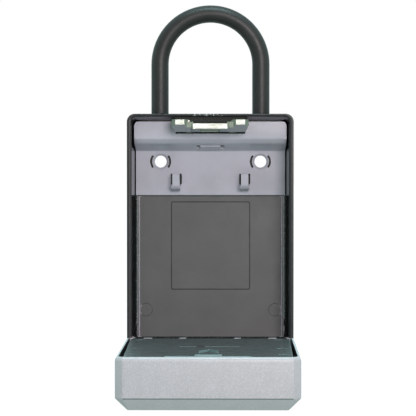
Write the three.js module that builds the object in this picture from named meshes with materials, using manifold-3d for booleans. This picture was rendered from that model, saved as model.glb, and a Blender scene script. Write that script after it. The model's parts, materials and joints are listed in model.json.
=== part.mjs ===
// Key lock box with a removable shackle: a die-cast casing, a lid that folds down on a bottom hinge,
// a four-dial code mechanism inside the lid, and a bow that hangs the box on a door handle or rail.
// Millimetres, +Z up. The origin is the middle of the casing's rear face, +Y points into the wall and the
// lid opens towards -Y. The box is built with its lid open at a right angle.

import * as THREE from "three";
import { mergeVertices } from "three/addons/utils/BufferGeometryUtils.js";
import Module from "manifold-3d";

const wasm = await Module();
wasm.setup();

// ---------------------------------------------------------------- driving dimensions

const WIDTH = 105;
const HEIGHT = 146;
const CASING_DEPTH = 27;
const LID_DEPTH = 30.8;
const LID_WIDTH = 105.9;
const CORNER = 5;
const GAP = 0.2; // running gap between the lid and the casing

const BOTTOM = -HEIGHT / 2;
const RIM = -CASING_DEPTH; // plane of the casing's front rim

const casing = { side: 3, floor: 3, base: 3, ceiling: 3.8, lip: 1.9, draft: 2, rearChamfer: 1.5 };
const hinge = { offset: 2.7, knuckle: 2.4, pin: 1.2, bore: 1.35, end: 47.5 };
const lidKnuckle = [[15.2, 19.3], [36.5, 41.6]]; // spans along X on each side; the casing fills the rest
const shackle = {
  spacing: 64, y: -12, bar: 4.5, bore: 4.8, sleeveIn: 4.7, sleeve: 5.5, bowCentre: 177.5, foot: 128.4,
};
const lock = { low: 130.6, thick: 1.8, waist: 3, hole: 4.9, slot: 3.2, travel: 2.4, tab: 12.7 };
const panel = { thick: 1.6, front: 5.5, back: 20, top: 141.3, low: 94.4, half: 48.1, taper: 0.7 };
const liner = { half: 46.6, thick: 1.8, top: 93.8, low: 4 };
const mountHole = { x: 31.8, z: 115.9, r: 3.8, lowX: 41.2, lowZ: 21.3 };
const hook = { x: 21.8, low: 97.1, root: 101.5, top: 108.6, tongue: 4.6, base: 6.2, reach: 7.5, thick: 1.8 };
const strike = {
  half: 24, low: 134.5, top: 139.7, lip: 136.3, lugTop: 142.2, lugLip: 139,
  centre: 11.5, lug: 13.9, reach: 10,
};

const lid = { wall: 1.9, front: 2.5, chamfer: 7.1, recess: 0.4, corner: 4.4 };
const track = { half: 24.2, groove: 25.4, depth: 3.4, lip: 1.9, low: 11.5, top: 112.7, backing: 1.8 };
const cover = { half: 48.3, wide: 49.7, thick: 2, low: 3.4, top: 140.8, slot: 24.7, slotLow: 131.2 };
const screw = { x: 43.5, rows: [13, 77, 121], boss: 3.3, shank: 1.1, head: 2.6 };
const dial = { r: 10.2, bore: 5.7, width: 8.6, pitch: 10.4, z: 82, y: -15.35, count: 4, digits: 10 };
const sleeve = { r: 5.5, bore: 2.2, notch: 2.4 };
const shaft = { r: 2, end: 24.4 };
const latch = { y: -7.5, thick: 1.5, half: 15, low: 97.5, top: 131.2, tongue: 5.9, tip: 136.6, finger: 1.3 };
const knob = { half: 12, low: 98.5, top: 109.5, proud: 2.1, stem: 3, screwZ: 104 };
const weather = { half: 24, height: 48, low: 12, shell: 1.5, proud: 0.65 };
const lever = { z: 64.3, half: 4, slot: 18.3, travel: 10 };

const FINE = 20; // segments of a round that shows
const COARSE = 12; // segments of a small or hidden round

// ---------------------------------------------------------------- solids from three.js geometry

// A closed mesh as a manifold solid, turned the right way out.
function solidOf(geometry) {
  const bare = geometry.index ? geometry.toNonIndexed() : geometry.clone();
  bare.deleteAttribute("normal");
  bare.deleteAttribute("uv");
  const merged = mergeVertices(bare, 1e-4);
  const triVerts = new Uint32Array(merged.index.array);
  const vertProperties = merged.attributes.position.array;
  const made = new wasm.Manifold(new wasm.Mesh({ numProp: 3, vertProperties, triVerts }));
  if (made.volume() > 0) return made;
  for (let i = 0; i < triVerts.length; i += 3) {
    [triVerts[i + 1], triVerts[i + 2]] = [triVerts[i + 2], triVerts[i + 1]];
  }
  return new wasm.Manifold(new wasm.Mesh({ numProp: 3, vertProperties, triVerts }));
}

function geometryOf(solid) {
  const mesh = solid.getMesh();
  const positions = new Float32Array(mesh.numVert * 3);
  for (let i = 0; i < mesh.numVert; i++) {
    positions.set(mesh.vertProperties.subarray(i * mesh.numProp, i * mesh.numProp + 3), i * 3);
  }
  const geometry = new THREE.BufferGeometry();
  geometry.setAttribute("position", new THREE.BufferAttribute(positions, 3));
  geometry.setIndex(new THREE.BufferAttribute(mesh.triVerts, 1));
  geometry.computeVertexNormals();
  return geometry;
}

const union = (...solids) => solids.reduce((all, next) => all.add(next));
const cut = (from, ...solids) => solids.reduce((left, next) => left.subtract(next), from);
const mirrorX = (make) => [make(-1), make(1)]; // the same feature on the left and on the right

// A box between two corners.
function box(x0, x1, y0, y1, z0, z1) {
  const geometry = new THREE.BoxGeometry(Math.abs(x1 - x0), Math.abs(y1 - y0), Math.abs(z1 - z0));
  geometry.translate((x0 + x1) / 2, (y0 + y1) / 2, (z0 + z1) / 2);
  return solidOf(geometry);
}

// An outline [[u, v], ...] extruded along one axis; (u, v) is (y, z) for x, (x, z) for y and (x, y) for z.
function prism(axis, outline, from, to, holes = []) {
  const swap = axis === "y";
  const flat = (points) => points.map(([u, v]) => new THREE.Vector2(swap ? v : u, swap ? u : v));
  const edge = flat(outline);
  if (THREE.ShapeUtils.isClockWise(edge)) edge.reverse();
  const shape = new THREE.Shape(edge);
  shape.holes = holes.map((hole) => new THREE.Path(flat(hole)));
  const geometry = new THREE.ExtrudeGeometry(shape, { depth: to - from, bevelEnabled: false });
  geometry.translate(0, 0, from);
  const turned = {
    x: new THREE.Matrix4().set(0, 0, 1, 0, 1, 0, 0, 0, 0, 1, 0, 0, 0, 0, 0, 1),
    y: new THREE.Matrix4().set(0, 1, 0, 0, 0, 0, 1, 0, 1, 0, 0, 0, 0, 0, 0, 1),
    z: new THREE.Matrix4(),
  };
  geometry.applyMatrix4(turned[axis]);
  return solidOf(geometry);
}

// Points of a circle, or of part of one.
function arc(u, v, r, segments, start = 0, sweep = 2 * Math.PI) {
  const whole = sweep >= 2 * Math.PI;
  return Array.from({ length: whole ? segments : segments + 1 }, (_, i) => {
    const angle = start + (sweep * i) / segments;
    return [u + r * Math.cos(angle), v + r * Math.sin(angle)];
  });
}

// A round bar along an axis, centred on (u, v) as prism() reads them.
const rod = (axis, r, from, to, u, v, segments = COARSE) => prism(axis, arc(u, v, r, segments), from, to);

// A rectangle with rounded corners.
function rounded(u0, u1, v0, v1, r, steps = 4) {
  const quarter = Math.PI / 2;
  return [
    ...arc(u1 - r, v1 - r, r, steps, 0, quarter),
    ...arc(u0 + r, v1 - r, r, steps, quarter, quarter),
    ...arc(u0 + r, v0 + r, r, steps, 2 * quarter, quarter),
    ...arc(u1 - r, v0 + r, r, steps, 3 * quarter, quarter),
  ];
}

// A skin over loops of equal length, closed by a fan at each end; every loop is convex.
function loft(loops) {
  const n = loops[0].length;
  const corner = (loop, i) => loops[loop][i % n];
  const triangles = [];
  for (let j = 0; j + 1 < loops.length; j++) {
    for (let i = 0; i < n; i++) {
      triangles.push(corner(j, i), corner(j, i + 1), corner(j + 1, i + 1));
      triangles.push(corner(j, i), corner(j + 1, i + 1), corner(j + 1, i));
    }
  }
  for (let i = 1; i + 1 < n; i++) {
    triangles.push(corner(0, 0), corner(0, i + 1), corner(0, i));
    triangles.push(corner(loops.length - 1, 0), corner(loops.length - 1, i), corner(loops.length - 1, i + 1));
  }
  const geometry = new THREE.BufferGeometry();
  geometry.setAttribute("position", new THREE.Float32BufferAttribute(triangles.flat(), 3));
  return solidOf(geometry);
}

// A rounded rectangle in the XZ plane at depth y, as a loop for loft().
const frameLoop = (half, z0, z1, r, y) => rounded(-half, half, z0, z1, r).map(([x, z]) => [x, y, z]);

// A round tube bent into the shackle's bow, with its feet at the given height above the casing's base.
function bow(r, foot, segments) {
  const half = shackle.spacing / 2;
  const centre = BOTTOM + shackle.bowCentre;
  const ring = (x, z, nx, nz) =>
    arc(0, 0, r, segments).map(([u, v]) => [x + u * nx, shackle.y + v, z + u * nz]);
  const steps = 14;
  const over = Array.from({ length: steps + 1 }, (_, i) => {
    const angle = Math.PI - (Math.PI * i) / steps;
    const [nx, nz] = [Math.cos(angle), Math.sin(angle)];
    return ring(half * nx, centre + half * nz, nx, nz);
  });
  return loft([ring(-half, BOTTOM + foot, -1, 0), ...over, ring(half, BOTTOM + foot, 1, 0)]);
}

// ---------------------------------------------------------------- materials

const finish = (color, roughness, metalness) =>
  new THREE.MeshStandardMaterial({ color, roughness, metalness });
const materials = {
  blackCasting: finish(0x2b2b29, 0.45, 0.1),
  silverCasting: finish(0xb9bbc0, 0.42, 0.7),
  lightPlastic: finish(0xaeb0ba, 0.5, 0),
  darkPlastic: finish(0x4b5052, 0.5, 0),
  liner: finish(0x6a6c6e, 0.55, 0),
  coating: finish(0x2e2f2e, 0.4, 0),
  steel: finish(0xc9cac2, 0.3, 1),
  brass: finish(0xb79a55, 0.35, 1),
  blackPlastic: finish(0x1d1e1f, 0.45, 0),
};

function place(group, name, solid, material) {
  const mesh = new THREE.Mesh(geometryOf(solid), material.clone());
  mesh.name = name;
  group.add(mesh);
}

// ---------------------------------------------------------------- casing and its fixed pieces

const up = (z) => BOTTOM + z; // heights are given above the casing's base
const in_ = (depth) => RIM + depth; // depths are given behind the rim

function casingShell() {
  const half = WIDTH / 2;
  const top = BOTTOM + HEIGHT;
  const c = casing.rearChamfer;
  const outside = loft([
    frameLoop(half - c, BOTTOM + c, top - c, CORNER - c, 0),
    frameLoop(half, BOTTOM, top, CORNER, -c),
    frameLoop(half, BOTTOM, top, CORNER, RIM),
  ]);
  const room = half - casing.side;
  const ceiling = top - casing.ceiling;
  const hollow = loft([
    frameLoop(room - casing.draft, up(casing.base), ceiling, 3, -casing.floor),
    frameLoop(room, up(casing.base), ceiling, 3, in_(4)),
    frameLoop(room, up(casing.base), top - casing.lip, 3, in_(-1)),
  ]);
  // the strike's pocket in the thick top wall
  const pocket = box(-22.3, 22.3, in_(-1), in_(12), ceiling - 3, top - casing.lip);
  return cut(outside, hollow, pocket);
}

function casingSockets() {
  const solids = mirrorX((side) => {
    const x = (side * shackle.spacing) / 2;
    return box(x - 6.8, x + 6.8, in_(8.4), -casing.floor + 1, up(132.9), up(HEIGHT - 2));
  });
  const ledges = mirrorX((side) =>
    box(side * 14, side * 22, in_(19), -casing.floor + 1, up(128.3), up(130.4)),
  );
  const bosses = mirrorX((side) => box(side * 11, side * 17, in_(11), in_(17), up(138.3), up(HEIGHT - 2)));
  return union(...solids, ...ledges, ...bosses);
}

// One knuckle: a barrel round the hinge axis and the web that ties it to a wall.
function knuckle(x0, x1, web) {
  return union(rod("x", hinge.knuckle, x0, x1, web.y, web.z, FINE), box(x0, x1, ...web.box));
}

// The casing's spans between the lid's knuckles, each wider than the barrel by grow at both ends.
function casingSpans(grow) {
  const gap = 0.3 - grow;
  const [[a, b], [c, d]] = lidKnuckle;
  const right = [[b + gap, c - gap], [d + gap, hinge.end + grow]];
  return [[-a + gap, a - gap], ...right, ...right.map(([x0, x1]) => [-x1, -x0])];
}

function casingKnuckles() {
  const y = RIM - hinge.offset;
  const z = up(hinge.offset);
  const web = { y, z, box: [y, RIM + 1, z - hinge.knuckle, z + 0.4] };
  return union(...casingSpans(0).map(([x0, x1]) => knuckle(x0, x1, web)));
}

function makeCasing() {
  const bores = mirrorX((side) =>
    rod("z", shackle.bore, up(120), up(HEIGHT + 2), (side * shackle.spacing) / 2, shackle.y, FINE),
  );
  const holes = [
    ...mirrorX((side) => rod("y", mountHole.r, -9, 2, side * mountHole.x, up(mountHole.z), FINE)),
    ...mirrorX((side) => rod("y", mountHole.r, -9, 2, side * mountHole.lowX, up(mountHole.lowZ), FINE)),
  ];
  const strikeScrews = mirrorX((side) => rod("z", 1.6, up(137), up(144.5), side * 14, in_(14)));
  const pin = rod("x", hinge.bore, -60, 60, RIM - hinge.offset, up(hinge.offset), FINE);
  const body = union(casingShell(), casingSockets(), casingKnuckles());
  return cut(body, ...bores, ...holes, ...strikeScrews, pin);
}

// The stepped light-grey moulding: a housing over the shackle's feet and a plate that carries the hooks.
function makeHookPanel() {
  const t = panel.thick;
  const front = in_(panel.front);
  const back = in_(panel.back);
  const outer = [
    [front, up(panel.top)],
    [front, up(130.2)],
    [front + 2.7, up(127.3)],
    [back, up(122.8)],
    [back, up(panel.low)],
  ];
  const inner = [
    [back + t, up(panel.low)],
    [back + t, up(124)],
    [front + 3.7, up(128.9)],
    [front + t, up(131)],
    [front + t, up(panel.top)],
  ];
  const skin = prism("x", [...outer, ...inner], -panel.half, panel.half);
  const endOutline = [...outer.slice(0, 4), [back, up(panel.top)]];
  const across = prism("x", endOutline, -panel.half, panel.half);
  const ends = mirrorX((side) => cut(across, box(side * (panel.half - t), -side * 60, -60, 0, -80, 80)));
  const body = union(skin, ...ends);
  // the sides lean in with depth, as the casing's walls do, and the top corners are round
  const envelope = loft([
    frameLoop(panel.half, up(panel.low - 10), up(panel.top), 3, front - 1),
    frameLoop(panel.half - panel.taper, up(panel.low - 10), up(panel.top), 3, back + t + 1),
  ]);
  const notch = box(-22, 22, front - 1, front + 12, up(133.5), up(panel.top + 1));
  const tabSlot = box(-8.85, 8.85, in_(11.3), in_(16.9), up(118), up(129.5));
  const plate = cut(body.intersect(envelope), notch, tabSlot, ...panelHoles(back, t));
  const dimple = rod("y", 1.9, back - 1, back + 0.3, 0, up(97.2), FINE);
  return cut(union(plate, ...panelHooks(back), ...panelCollars(back)), ...panelCountersinks(back), dimple);
}

function panelHoles(back, t) {
  const cuts = [];
  const spread = (38 * Math.PI) / 180;
  for (const side of [-1, 1]) {
    const [x, z] = [side * mountHole.x, up(mountHole.z)];
    cuts.push(rod("y", mountHole.r, back - 2, back + t + 2, x, z, FINE));
    for (const start of [-spread, Math.PI - spread]) {
      const [outer, inner] = [6.7, 5.4].map((r) => arc(x, z, r, 8, start, 2 * spread));
      cuts.push(prism("y", [...outer, ...inner.reverse()], back - 2, back + t + 2));
    }
    cuts.push(box(side * hook.x - 3.55, side * hook.x + 3.55, back - 2, back + t + 2, up(101.6), up(108.2)));
  }
  return cuts;
}

// A quarter of a squared ellipse under each hook, from the plate forward and up.
function hookCurve(back, to) {
  const rise = 5.4;
  const steps = 6;
  const square = 0.72;
  return Array.from({ length: steps + 1 }, (_, i) => {
    const t = (to * i) / steps;
    const [out, left] = [Math.sin(t) ** square, Math.abs(Math.cos(t)) ** square];
    return [back - hook.reach * out, up(hook.low + rise * (1 - left))];
  });
}

const panelHooks = (back) =>
  mirrorX((side) => {
    const x = side * hook.x;
    const tip = back - hook.reach;
    const inside = tip + hook.thick;
    const tongue = [
      [back + 0.8, up(hook.low)],
      ...hookCurve(back, Math.PI / 2),
      [tip, up(hook.top - 0.5)],
      [tip + 0.5, up(hook.top)],
      [inside, up(hook.top - 0.4)],
      [inside, up(hook.root + 2)],
      [inside + 2, up(hook.root)],
      [back + 0.8, up(hook.root)],
    ];
    const foot = [
      [back + 0.8, up(hook.low)],
      ...hookCurve(back, 1.3),
      [inside + 2, up(hook.root)],
      [back + 0.8, up(hook.root)],
    ];
    return union(
      prism("x", tongue, x - hook.tongue / 2, x + hook.tongue / 2),
      prism("x", foot, x - hook.base / 2, x + hook.base / 2),
    );
  });

// A tube from each upper screw hole to the casing's wall.
const panelCollars = (back) =>
  mirrorX((side) => {
    const [x, z] = [side * mountHole.x, up(mountHole.z)];
    const hole = arc(x, z, mountHole.r, FINE);
    return prism("y", arc(x, z, 4.9, FINE), back + 0.6, -casing.floor - GAP, [hole]);
  });

// The screw holes' countersinks, drawn past the plate's face at the same slope.
const panelCountersinks = (back) =>
  mirrorX((side) => {
    const [wide, deep, past] = [5.15, 1.2, 0.5];
    const slope = (wide - mountHole.r) / deep;
    const ring = (r, y) => arc(side * mountHole.x, up(mountHole.z), r, FINE).map(([x, z]) => [x, y, z]);
    return loft([ring(wide + past * slope, back - past), ring(mountHole.r, back + deep)]);
  });

// The dark plate on the casing's floor, with a shallow framed panel and the lower mounting holes.
function makeRearLiner() {
  const back = -casing.floor - GAP;
  const face = back - liner.thick;
  const plate = box(-liner.half, liner.half, face, back, up(liner.low), up(liner.top));
  const ribs = mirrorX((side) =>
    box(side * (liner.half - 1.2), side * liner.half, face - 1.2, face + 0.5, up(liner.low), up(liner.top)),
  );
  const groove = (inset, depth) => {
    const half = 25.3 - inset;
    return prism("y", rounded(-half, half, up(34) + inset, up(90.5) - inset, 1, 2), face - 1, face + depth);
  };
  const frame = cut(groove(0, 0.5), groove(0.6, 2));
  const holes = mirrorX((side) =>
    rod("y", 4.2, face - 2, back + 1, side * mountHole.lowX, up(mountHole.lowZ), FINE),
  );
  return cut(union(plate, ...ribs), frame, ...holes);
}

// A flush plug that closes an unused lower mounting hole from inside.
function makeMountingPlug(side) {
  const [x, z] = [side * mountHole.lowX, up(mountHole.lowZ)];
  const face = -casing.floor - GAP - liner.thick;
  return union(
    rod("y", 4, face, -casing.floor - GAP, x, z, FINE),
    rod("y", mountHole.r - 0.3, -casing.floor - 0.5, -0.8, x, z, FINE),
  );
}

// The steel strike: two raised lugs, a lowered middle with the latch's window, and a neck that is screwed
// under the top wall.
function makeStrike() {
  const t = strike;
  const front = RIM - t.reach;
  const rear = in_(3.2);
  const bar = (face, top, lip, back, x0, x1) => {
    const outline = [[face, up(top)], [face, up(lip)], [back, up(t.low)], [rear, up(t.low)], [rear, up(top)]];
    return prism("x", outline, x0, x1);
  };
  const centre = bar(front, t.top, t.lip, front + 4, -t.centre, t.centre);
  const lugs = [
    bar(front, t.lugTop, t.lugLip, front + 5, -t.half, -t.lug),
    bar(front, t.lugTop, t.lugLip, front + 5, t.lug, t.half),
  ];
  const joints = [
    bar(front + 1.6, t.top + 1, t.lip + 0.9, front + 4.4, -t.lug - 1, -t.centre + 1),
    bar(front + 1.6, t.top + 1, t.lip + 0.9, front + 4.4, t.centre - 1, t.lug + 1),
  ];
  const corner = (x, dx, low, high) => {
    const deep = front + Math.abs(dx) + 0.1;
    const sliver = [[x - dx * 0.04, front - 0.1], [x + dx, deep], [x + dx * 2, front - 2]];
    return prism("z", sliver, up(low), up(high));
  };
  const chamfers = mirrorX((side) => [
    corner(side * (t.half - 2.3), side * 2.4, 130, 145),
    corner(side * (t.lug + 2.3), -side * 2.4, t.top + 1, 145),
  ]).flat();
  const window = box(-6.2, 6.2, front + 1.1, front + 6.8, up(130), up(145));
  const neck = box(-19.5, 19.5, in_(2.5), in_(19), up(136.2), up(138.2));
  const screwHoles = mirrorX((side) => rod("z", 1.8, up(130), up(145), side * 14, in_(14)));
  return cut(union(cut(union(centre, ...lugs, ...joints), ...chamfers, window), neck), ...screwHoles);
}

const makeStrikeScrew = (side) =>
  union(
    rod("z", 3, up(134.3), up(135.8), side * 14, in_(14)),
    rod("z", 1.4, up(135.6), up(144), side * 14, in_(14)),
  );

const makeHingePin = () =>
  rod("x", hinge.pin, -hinge.end + 0.4, hinge.end - 0.4, RIM - hinge.offset, up(hinge.offset), FINE);

// ---------------------------------------------------------------- shackle and its lock

// The waist under each foot lets the lock plate's narrow slots grip the bar.
function makeShackleBar() {
  const waists = mirrorX((side) => {
    const x = (side * shackle.spacing) / 2;
    const [z0, z1] = [up(lock.low - 0.3), up(lock.low + lock.thick + 0.3)];
    return union(
      box(x - 6, x + 6, shackle.y + lock.waist, shackle.y + 6, z0, z1),
      box(x - 6, x + 6, shackle.y - 6, shackle.y - lock.waist, z0, z1),
    );
  });
  return cut(bow(shackle.bar, shackle.foot, COARSE), ...waists);
}

const makeShackleSleeve = () =>
  cut(bow(shackle.sleeve, HEIGHT + 0.2, 16), bow(shackle.sleeveIn, HEIGHT - 4, COARSE));

// A steel plate with two keyholes; it slides sideways to lock both feet.
function makeLockPlate() {
  const half = shackle.spacing / 2;
  const [z0, z1] = [up(lock.low), up(lock.low + lock.thick)];
  const plate = prism("z", rounded(-half - 11, half + 8, in_(9.4), in_(21.6), 1.5, 2), z0, z1);
  const keyholes = mirrorX((side) =>
    union(
      rod("z", lock.hole, z0 - 1, z1 + 1, side * half, shackle.y, FINE),
      box(side * half - 7.3, side * half, shackle.y - lock.slot, shackle.y + lock.slot, z0 - 1, z1 + 1),
    ),
  );
  return cut(plate, ...keyholes);
}

// The finger tab under the housing that moves the lock plate.
const makeReleaseTab = () =>
  prism("x", [
    [in_(11.7), up(lock.low - 0.1)],
    [in_(11.7), up(125.4)],
    [in_(16.5), up(123.5)],
    [in_(16.5), up(lock.low - 0.1)],
  ], -lock.tab / 2, lock.tab / 2);

// ---------------------------------------------------------------- lid, in its own frame
// The lid's frame has its origin on the hinge axis and stands closed: +Y is the parting side, -Y the front.

const PARTING = hinge.offset - GAP;
const FRONT = PARTING - LID_DEPTH;
const LID_LOW = -PARTING;
const LID_TOP = HEIGHT - hinge.offset;
const COVER_FACE = PARTING - lid.recess;
const COVER_BACK = COVER_FACE - cover.thick;
const TRACK_FLOOR = FRONT + track.depth;

// A rectangle with chamfered corners at depth y, as a loop for loft().
function lidLoop(half, z0, z1, c, y) {
  const outline = [
    [half, z1 - c], [half - c, z1], [-half + c, z1], [-half, z1 - c],
    [-half, z0 + c], [-half + c, z0], [half - c, z0], [half, z0 + c],
  ];
  return outline.map(([x, z]) => [x, y, z]);
}

function lidOutside() {
  const half = LID_WIDTH / 2;
  const flat = lid.chamfer;
  const body = loft([
    lidLoop(half, LID_LOW, LID_TOP, lid.corner, PARTING),
    lidLoop(half, LID_LOW, LID_TOP, lid.corner, FRONT + flat),
    lidLoop(half - flat, LID_LOW + flat, LID_TOP - flat, 0.3, FRONT),
  ]);
  // the heel is round about the hinge axis, so the lid can turn past the rim
  const quarter = arc(0, 0, PARTING, 8, -Math.PI / 2, Math.PI / 2);
  const heel = prism("x", [...quarter, [4, 0], [4, -4], [0, -4]], -60, 60);
  return cut(body, heel);
}

function lidHollow() {
  const half = LID_WIDTH / 2 - lid.wall;
  const flat = lid.chamfer;
  const inset = (n) => [LID_LOW + lid.wall + n, LID_TOP - lid.wall - n];
  return loft([
    frameLoop(half, ...inset(0), CORNER, PARTING + 1),
    frameLoop(half, ...inset(0), CORNER, FRONT + flat + 0.4),
    frameLoop(half - flat + 1.6, ...inset(flat - 1.6), 1, FRONT + lid.front),
  ]);
}

function lidBosses() {
  const bosses = [];
  for (const side of [-1, 1]) {
    for (const z of screw.rows) {
      bosses.push(rod("y", screw.boss, FRONT + 1, COVER_BACK - 0.1, side * screw.x, z));
    }
    // guide rails beside the latch plate, and the ears that carry the dial shaft
    bosses.push(box(side * 15.4, side * 17.4, FRONT + 1, latch.y + 3, 112, 128));
    bosses.push(box(side * 22, side * 25.4, FRONT + 1, dial.y + 4.5, dial.z - 5, dial.z + 5));
  }
  bosses.push(box(-27.5, 27.5, FRONT + 1, TRACK_FLOOR + track.backing, track.low - 2, track.top + 2));
  return bosses;
}

function lidCuts() {
  const slot = box(-track.half, track.half, FRONT - 1, TRACK_FLOOR, track.low, track.top);
  const groove = box(-track.groove, track.groove, FRONT + track.lip, TRACK_FLOOR, track.low, track.top);
  const knobSlot = box(-3.4, 3.4, FRONT, COVER_BACK, knob.low - 3.5, knob.top - 1.2);
  const shaftHole = rod("x", shaft.r + 0.1, -shaft.end - 0.2, shaft.end + 0.2, dial.y, dial.z, FINE);
  const cuts = [slot, groove, knobSlot, shaftHole];
  for (const x of dialCentres()) {
    cuts.push(box(x - dial.width / 2 - 0.3, x + dial.width / 2 + 0.3, FRONT, dial.y, dial.z - 9, dial.z + 9));
  }
  for (const side of [-1, 1]) {
    for (const z of screw.rows) {
      cuts.push(rod("y", screw.shank + 0.2, FRONT + 4, PARTING, side * screw.x, z));
    }
  }
  return cuts;
}

// The lid's knuckles and the slots that clear the casing's.
function lidKnuckles() {
  const web = { y: 0, z: 0, box: [-4, 0, -hinge.knuckle, 2] };
  const spans = lidKnuckle.flatMap(([x0, x1]) => [[x0, x1], [-x1, -x0]]);
  return spans.map(([x0, x1]) =>
    union(knuckle(x0, x1, web), box(x0, x1, -hinge.knuckle, hinge.knuckle, 0, 2.9)),
  );
}

function knuckleSlots() {
  const reach = hinge.knuckle + 0.35;
  return casingSpans(0.3).map(([x0, x1]) => box(x0, x1, -reach, PARTING + 1, LID_LOW - 1, reach));
}

function makeLidShell() {
  const hollowed = cut(lidOutside(), lidHollow());
  const filled = union(hollowed, ...lidBosses(), ...lidKnuckles());
  const pin = rod("x", hinge.bore, -60, 60, 0, 0, FINE);
  return cut(filled, ...lidCuts(), ...knuckleSlots(), pin);
}

// The plate over the mechanism: screw wells, the strike's slot at the free end, a low hood beside it and
// an arrow.
function makeInnerCover() {
  // wider towards the hinge
  const outline = rounded(-cover.half, cover.half, cover.low, cover.top, 4, 3).map(([x, z]) => {
    const along = (cover.top - z) / (cover.top - cover.low);
    return [x * (1 + along * (cover.wide / cover.half - 1)), z];
  });
  const plate = prism("y", outline, COVER_BACK, COVER_FACE);
  const slot = box(-cover.slot, cover.slot, COVER_BACK - 1, COVER_FACE + 2, cover.slotLow, cover.top + 1);
  const leverSlot = prism("y", rounded(-lever.slot, lever.slot, lever.z - 1.5, lever.z + 1.5, 1, 2),
    COVER_BACK - 1, COVER_FACE + 1);
  const chevron = [[0, 86], [-5.6, 103], [-5.6, 110], [0, 97], [5.6, 110], [5.6, 103]];
  const arrow = prism("y", chevron, COVER_FACE - 0.2, COVER_FACE + 1.2);
  const hood = box(-7.7, 7.7, COVER_FACE - 0.2, COVER_FACE + 0.9, 121, cover.slotLow);
  const cuts = [slot, leverSlot];
  for (const side of [-1, 1]) {
    for (const z of screw.rows) {
      cuts.push(rod("y", screw.shank + 0.3, COVER_BACK - 1, COVER_FACE + 1, side * screw.x, z));
      cuts.push(rod("y", screw.head + 0.4, COVER_FACE - 1.4, COVER_FACE + 1, side * screw.x, z, FINE));
    }
  }
  return cut(union(plate, arrow, hood), ...cuts);
}

function makeCoverScrew(side, z) {
  const x = side * screw.x;
  const socket = rod("y", 1, COVER_FACE - 1.1, COVER_FACE + 1, x, z, 6);
  const head = rod("y", screw.head, COVER_FACE - 1.3, COVER_FACE - 0.5, x, z, FINE);
  return cut(union(head, rod("y", screw.shank, FRONT + 6, COVER_FACE - 1.2, x, z)), socket);
}

// ---------------------------------------------------------------- dials and latch

const dialCentres = () =>
  Array.from({ length: dial.count }, (_, i) => (i - (dial.count - 1) / 2) * dial.pitch);

// A ring with a finger groove between each two digits.
function makeDial(x) {
  const step = (2 * Math.PI) / dial.digits;
  const outline = [];
  for (let i = 0; i < dial.digits; i++) {
    const middle = i * step - Math.PI / 2;
    for (const [turn, r] of [[-0.38, dial.r], [0, dial.r], [0.38, dial.r], [0.5, dial.r - 0.6]]) {
      const angle = middle + turn * step;
      outline.push([dial.y + r * Math.sin(angle), dial.z + r * Math.cos(angle)]);
    }
  }
  const bore = arc(dial.y, dial.z, dial.bore, FINE);
  return prism("x", outline, x - dial.width / 2, x + dial.width / 2, [bore]);
}

// The brass sleeve that carries the code notch; it turns with its dial.
function makeDialSleeve(x) {
  const [x0, x1] = [x - dial.width / 2 + 0.1, x + dial.width / 2 + 1.5];
  const bore = arc(dial.y, dial.z, sleeve.bore, COARSE);
  const body = prism("x", arc(dial.y, dial.z, sleeve.r, 24), x0, x1, [bore]);
  const notch = box(x + dial.width / 2, x1 + 1, dial.y - sleeve.notch / 2, dial.y + sleeve.notch / 2,
    dial.z + 3.2, dial.z + 8);
  return cut(body, notch);
}

const makeDialShaft = () => rod("x", shaft.r, -shaft.end, shaft.end, dial.y, dial.z);

// A comb of spring steel; each finger clicks one dial into its ten places.
function makeDetentSpring() {
  const y = COVER_BACK - 1.5;
  const back = box(-20, 20, y, y + 0.5, dial.z - 32, dial.z - 23);
  const fingers = dialCentres().map((x) =>
    prism("x", [
      [y + 0.5, dial.z - 24],
      [y, dial.z - 24],
      [y - 3, dial.z + 1],
      [y - 2.5, dial.z + 2],
    ], x - 2.6, x + 2.6),
  );
  return union(back, ...fingers);
}

const makeDialBezel = () => {
  const holes = dialCentres().map((x) => rounded(x - 4.4, x + 4.4, dial.z - 5.6, dial.z + 5.6, 0.8, 2));
  const outline = rounded(-21.4, 21.4, dial.z - 8, dial.z + 8, 1.5, 3);
  return prism("y", outline, TRACK_FLOOR - 0.9, TRACK_FLOOR - 0.1, holes);
};

// The sliding latch: the tongue that enters the strike, and one fence finger beside each dial.
function makeLatchPlate() {
  const [y0, y1] = [latch.y, latch.y + latch.thick];
  const plate = box(-latch.half, latch.half, y0, y1, latch.low, latch.top);
  const tongueOutline = [
    [COVER_BACK - 0.9, latch.top - 8],
    [COVER_BACK - 0.9, latch.tip - 1.6],
    [COVER_BACK - 2.3, latch.tip],
    [y0 + 1.8, latch.tip],
    [y0 + 1.8, latch.top],
    [y0 + 0.2, latch.top],
    [y0 + 0.2, latch.top - 8],
  ];
  const tongue = prism("x", tongueOutline, -latch.tongue, latch.tongue);
  const gaps = dialCentres().map((x) => x + dial.pitch / 2);
  const crossbar = box(-12, gaps.at(-1) + latch.finger, y0, y1, latch.low, latch.low + 4);
  const fingers = gaps.map((x) =>
    box(x - latch.finger / 2, x + latch.finger / 2, dial.y - 1.5, y1, dial.z + sleeve.r + 5.5, latch.low + 4),
  );
  const windows = mirrorX((side) => box(side * 6.5, side * 12.5, y0 - 1, y1 + 1, 108.5, 124.5));
  const hole = rod("y", 1.6, y0 - 1, y1 + 1, 0, knob.screwZ);
  return cut(union(plate, tongue, crossbar, ...fingers), ...windows, hole);
}

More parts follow.
